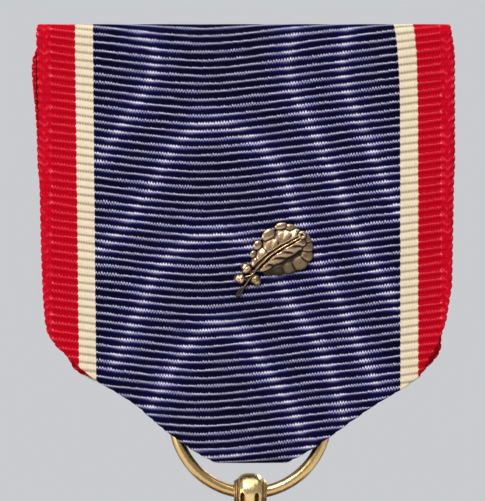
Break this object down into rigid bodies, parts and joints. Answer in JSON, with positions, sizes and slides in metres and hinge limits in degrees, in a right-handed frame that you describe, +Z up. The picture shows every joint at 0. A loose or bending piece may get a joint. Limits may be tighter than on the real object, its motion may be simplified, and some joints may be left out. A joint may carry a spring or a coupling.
{
  "type": "medal with folded ribbon and pin brooch",
  "caption": "Medal on a striped ribbed ribbon folded to a point, with an oak leaf device, suspension ring, cross pendant and a hinged brooch pin with a turning safety catch.",
  "frame": {"origin": "on the axis of the closed pin, behind the middle of the pendant's ring", "axes": "+Z up as worn, the ribbon's front faces -Y, +X to the viewer's right and along the pin towards its point"},
  "size_m": [0.045, 0.0069, 0.0889],
  "materials": {
    "ribbon_cloth": "ribbed silk",
    "thread": "twisted cotton",
    "brooch_metal": "aged satin",
    "pin_wire": "drawn wire",
    "device_bronze": "struck, darkened in the hollows",
    "ring_gilt": "worn gilt",
    "pendant_bronze": "struck, darkened in the hollows"
  },
  "bodies": {
    "drape": {"ribbon": "ribbon_cloth", "ribbon_stitches": "thread", "brooch_bar": "brooch_metal", "brooch_plate": "brooch_metal", "plate_rivets": "brooch_metal", "hinge_bracket": "brooch_metal", "hinge_rivet": "brooch_metal", "catch_base": "brooch_metal", "oak_leaf": "device_bronze", "device_prongs": "device_bronze"},
    "pin": {"pin_stem": "pin_wire"},
    "rotor": {"catch_rotor": "brooch_metal"},
    "ring": {"suspension_ring": "ring_gilt"},
    "pendant": {"suspension_knob": "ring_gilt", "pendant_cross": "pendant_bronze", "pendant_wreath": "pendant_bronze", "pendant_boss": "pendant_bronze"}
  },
  "joints": [
    {"name": "pin_hinge", "type": "hinge", "parent": "drape", "child": "pin", "pos_m": [-0.013, 0, 0], "axis": [0, 0, 1], "range_deg": [0, 80]},
    {"name": "catch_turn", "type": "hinge", "parent": "drape", "child": "rotor", "pos_m": [0.0125, 0, 0], "axis": [-1, 0, 0], "range_deg": [0, 120]},
    {"name": "ring_sway", "type": "hinge", "parent": "drape", "child": "ring", "pos_m": [0, -0.003, -0.03036], "axis": [0, 1, 0], "range_deg": [-22, 22]},
    {"name": "pendant_swing", "type": "hinge", "parent": "ring", "child": "pendant", "pos_m": [0, -0.003, -0.03664], "axis": [1, 0, 0], "range_deg": [-75, 75]}
  ]
}
